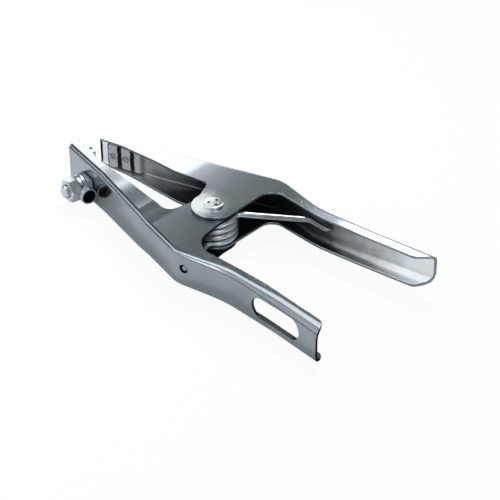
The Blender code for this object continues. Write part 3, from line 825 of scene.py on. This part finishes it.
def press_levers(inner, outer, looks, looks_outer):
    """Both levers with finer folds than the solids have, and with sheared edges."""
    edge = looks[2]
    body = inner.blank("pressed_lever_a", *looks)
    carve(body, cable_slot(inner, edge))
    inner.drill(body, INNER_HOLE_X, INNER_HOLE_RISE, SPRING_HOLE_R, edge)
    inner.drill(body, BOLT_X, BOLT_RISE, BOLT_HOLE_R, edge)
    # The near lever's rounded edges take the edge colour, a painted shade.
    soften(body, round_over=EDGE_ROUND, slot=2)
    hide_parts("lever_a")
    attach(body, LEVER_A)
    edge = looks_outer[2]
    body = outer.blank("pressed_lever_b", *looks_outer)
    outer.drill(body, OUTER_HOLE_X, OUTER_HOLE_RISE, SPRING_HOLE_R, edge)
    for along in OUTER_RIVET_U:
        outer.drill(body, OUTER_PAD_X, 0.0, PAD_RIVET_HOLE_R, edge, along)
    soften(body, round_over=EDGE_ROUND)
    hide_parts("lever_b")
    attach(body, LEVER_B)


# Pivot rivet -----------------------------------------------------------------------
PIVOT_R = 4.0
TAIL_PROFILE = ((5.3, 0.0), (5.6, 0.15), (5.8, 0.5))    # radius and height, from the foot up
HEAD_WALL = 0.4                 # upright part of the head's side
HEAD_ROUND = 0.9
HEAD_STEPS = 6
HEAD_CROWN = (1.0, 1.38)        # radius and height over the ear of the head's middle
DENT_RADII = (0.3, 1.5)         # of a punch, low and high
DENT_HEIGHTS = (0.2, 2.4)       # over the ear
DENTS = 3
DENT_AZ = 100                   # degrees
RIVET_SIDES = 72
DENT_SIDES = 24
RIVET_CREASE = 40               # degrees


def stake_rivet(material, dent_shade):
    """Pivot rivet with a flush head, which three punch marks have swelled."""
    top = MID_Z + EAR_HALF + OFFSET + FIT
    low = MID_Z - EAR_HALF - OFFSET - FIT
    profile = [*TAIL_PROFILE, (HEAD_R, low), (PIVOT_R, low), (PIVOT_R, top), (HEAD_R, top)]
    for i in range(HEAD_STEPS + 1):
        angle = math.pi / 2 * i / HEAD_STEPS
        radius = HEAD_R - HEAD_ROUND + HEAD_ROUND * math.cos(angle)
        profile.append((radius, top + HEAD_WALL + HEAD_ROUND * math.sin(angle)))
    profile.append((HEAD_CROWN[0], top + HEAD_CROWN[1]))
    body = turned("staked_rivet", profile, material, RIVET_SIDES)
    for i in range(DENTS):
        angle = math.radians(DENT_AZ + 360 / DENTS * i)
        spot = (HEAD_R / 2 * math.cos(angle), HEAD_R / 2 * math.sin(angle), 0)
        ends = [(radius, top + height) for radius, height in zip(DENT_RADII, DENT_HEIGHTS)]
        # The punch marks' faces take the dark material, a painted shade.
        punch = turned("punch", ends, dent_shade, DENT_SIDES)
        punch.data.transform(Matrix.Translation(Vector(spot) * MM))
        carve(body, punch)
    soften(body, angle=RIVET_CREASE)
    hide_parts("pivot_rivet")
    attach(body, LEVER_B)


# Torsion spring -----------------------------------------------------------------
WIRE_R = 1.7
COIL_R = 12.2
COIL_TOP = 6.7
COIL_DROP = 13.3
LEG_BEND_R = 3.4
OUTER_LEG_AZ = math.radians(36.9)
INNER_LEG_AZ = math.radians(-65.8)
TURNS = 3
TURN_STEPS = 40
BEND_STEPS = 8
WIRE_SIDES = 18
WIRE_CAP = 0.45                 # rounding of the wire's ends
LEG_ROUND = 3.2
LEAST_STEP = 0.05               # nearer points of the wire's path are one

# Legs in x, y and height over the coil's middle: the outer one from its end to the coil,
# the inner one from the coil to its end.
OUTER_LEG = (
    (55.0, 40.6, 1.25),
    (54.2, 36.3, 1.75),
    (44.0, 33.0, 5.6),
)
INNER_LEG = (
    (18.7, -38.2, 0.55),
    (19.4, -44.2, 0.55),
)


def leg_to_coil(azimuth, turn_sign, height):
    """Bend from a radial leg into the coil, and the azimuth where the coil takes over."""
    along = Vector((math.cos(azimuth), math.sin(azimuth)))
    across = Vector((-along.y, along.x)) * turn_sign
    reach = math.sqrt((COIL_R + LEG_BEND_R) ** 2 - LEG_BEND_R ** 2)
    centre = along * reach + across * LEG_BEND_R
    first = math.atan2(-across.y, -across.x)
    last = math.atan2(-centre.y, -centre.x)
    sweep = (last - first + math.pi) % math.tau - math.pi
    points = []
    for i in range(BEND_STEPS + 1):
        angle = first + sweep * i / BEND_STEPS
        spot = centre + Vector((math.cos(angle), math.sin(angle))) * LEG_BEND_R
        points.append(Vector((spot.x, spot.y, height)))
    return points, math.atan2(centre.y, centre.x)


def round_wire(points, radius):
    """Points of a path in space, each inner one rounded to the radius."""
    out = [points[0]]
    for before, here, after in zip(points, points[1:], points[2:]):
        a = (before - here).normalized()
        b = (after - here).normalized()
        half = a.angle(b) / 2
        reach = radius / math.tan(half)
        centre = here + (a + b).normalized() * (radius / math.sin(half))
        first = here + a * reach - centre
        last = here + b * reach - centre
        for i in range(BEND_STEPS + 1):
            out.append(centre + first.slerp(last, i / BEND_STEPS).normalized() * radius)
    out.append(points[-1])
    return out


def spring_points():
    """Middle line of the whole wire, from the outer lever's hole to the inner one's."""
    top, top_az = leg_to_coil(OUTER_LEG_AZ, -1, COIL_TOP)
    low, low_az = leg_to_coil(INNER_LEG_AZ, 1, COIL_TOP - COIL_DROP)
    total = (top_az - low_az) % math.tau + math.tau * TURNS
    count = round(total / math.tau * TURN_STEPS)
    coil = []
    for i in range(1, count):
        t = i / count
        angle = top_az - total * t
        height = COIL_TOP - COIL_DROP * t
        coil.append(Vector((COIL_R * math.cos(angle), COIL_R * math.sin(angle), height)))
    outer_leg = round_wire([*map(Vector, OUTER_LEG), top[0]], LEG_ROUND)
    inner_leg = round_wire([low[0], *map(Vector, INNER_LEG)], LEG_ROUND)
    return outer_leg[:-1] + top + coil + low[::-1] + inner_leg[1:]


def tube(name, points, material):
    """Round wire along points, with its two ends slightly rounded."""
    clean = [points[0]]
    for point in points[1:]:
        if (point - clean[-1]).length > LEAST_STEP:
            clean.append(point)
    stations = []
    tangent = (clean[1] - clean[0]).normalized()
    normal = tangent.orthogonal().normalized()
    for i, point in enumerate(clean):
        ahead = clean[min(i + 1, len(clean) - 1)]
        behind = clean[max(i - 1, 0)]
        fresh = (ahead - behind).normalized()
        normal = tangent.rotation_difference(fresh) @ normal
        tangent = fresh
        stations.append((point, tangent, normal.normalized(), WIRE_R))
    first, last = stations[0], stations[-1]
    stations[0] = (*first[:3], WIRE_R - WIRE_CAP)
    stations.insert(1, (first[0] + first[1] * WIRE_CAP, *first[1:]))
    stations[-1] = (*last[:3], WIRE_R - WIRE_CAP)
    stations.insert(-1, (last[0] - last[1] * WIRE_CAP, *last[1:]))
    rings = []
    for point, along, side, radius in stations:
        across = along.cross(side)
        ring = []
        for k in range(WIRE_SIDES):
            angle = math.tau * k / WIRE_SIDES
            spot = point + (side * math.cos(angle) + across * math.sin(angle)) * radius
            ring.append((spot.x, spot.y, spot.z + MID_Z))
        rings.append(ring)
    made = skin(name, rings, material)
    for face in made.data.polygons:
        face.use_smooth = len(face.vertices) == 4
    return made


def wind_spring(material):
    """Spring of one unbroken wire, which runs between the two levers."""
    spring = tube("wound_spring", spring_points(), material)
    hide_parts("torsion_spring")
    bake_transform(spring)


# Scene -------------------------------------------------------------------------------
place_camera()
light_studio()
lay_floor()

# Painted highlight: the outer lever's ear is painted lighter round this spot, out to these radii, mm.
ear_highlight_spot = ((-7.0, -6.0), (3.0, 19.0))
# Painted shade: the near lever's plating is darker than the far lever's.
sheet = metal("plated_sheet_painted_shade", (0.25, 0.278, 0.30), (0.305, 0.336, 0.36), 0.16, PLATE_GRAIN)
sheet_outer = metal("plated_outer_look", (0.36, 0.40, 0.43), (0.43, 0.47, 0.50), 0.16, PLATE_GRAIN, ear_highlight_spot)
# Painted shade: the near lever's sheared and rounded edges, its holes' and slot's walls and the rivet's
# punch marks are nearly black, with little shine at a grazing angle.
edges = metal("sheared_edge_painted_shade", (0.02, 0.02, 0.024), (0.04, 0.04, 0.045), 0.45, rim=0.1)
edges_outer = metal("sheared_outer_look", (0.20, 0.22, 0.24), (0.28, 0.31, 0.33), 0.45)
# Painted light and shade: the spring wire is light on the coil and dark on its legs.
wire = painted_range_look("spring_wire_painted_light_and_shade", (0.66, 0.70, 0.73), (0.30, 0.32, 0.34), 0.0, (14, 26), 0.33)
rivets = metal("rivet_look", (0.50, 0.52, 0.55), (0.62, 0.64, 0.67), 0.3)
bush = metal("bush_look", (0.25, 0.26, 0.28), (0.33, 0.34, 0.36), 0.42)
bolts = metal("bolt_look", (0.46, 0.50, 0.55), (0.60, 0.64, 0.69), 0.36)

# Painted shade darkens the channels' inner skins round the spring, and painted light makes them bright
# further out. The inner one's painted shade reaches to the handle's end, with little shine at a grazing
# angle.
painted_light_tint = (0.96, 0.98, 1.0)
inside = painted_range_look("channel_inside_painted_shade", (0.03, 0.033, 0.036), painted_light_tint, 60, (112, 146), 0.31, rim=0.1)
inside_outer_shaded = painted_range_look("outer_inside_painted_shade", (0.07, 0.08, 0.09), painted_light_tint, 10, (56, 106), 0.45)

inner = Lever(-1, INNER_WEB, INNER_MOUTH, INNER_GRIP, INNER_HEIGHT)
outer = Lever(1, OUTER_WEB, OUTER_MOUTH, OUTER_GRIP, OUTER_HEIGHT)
press_levers(inner, outer, (sheet, inside, edges), (sheet_outer, inside_outer_shaded, edges_outer))
stake_rivet(sheet_outer, edges)
dress("spring_bush", bush)
dress("jaw_pad_a", pad_look("pad_a_look", inner, INNER_PAD_X, INNER_GROOVE))
dress("jaw_pad_b", pad_look("pad_b_look", outer, OUTER_PAD_X, OUTER_GROOVE))
dress("pad_rivet_b_front", rivets)
dress("pad_rivet_b_rear", rivets)
for part in ("cable_bolt", "flat_washer", "lock_washer", "hex_nut"):
    dress(part, bolts)
dress("cable_lug", lug_painted_bore_look("lug_painted_bore_look", inner.web_frame(BOLT_X, BOLT_RISE)))
wind_spring(wire)

view = bpy.context.scene.view_settings
view.view_transform = "Standard"
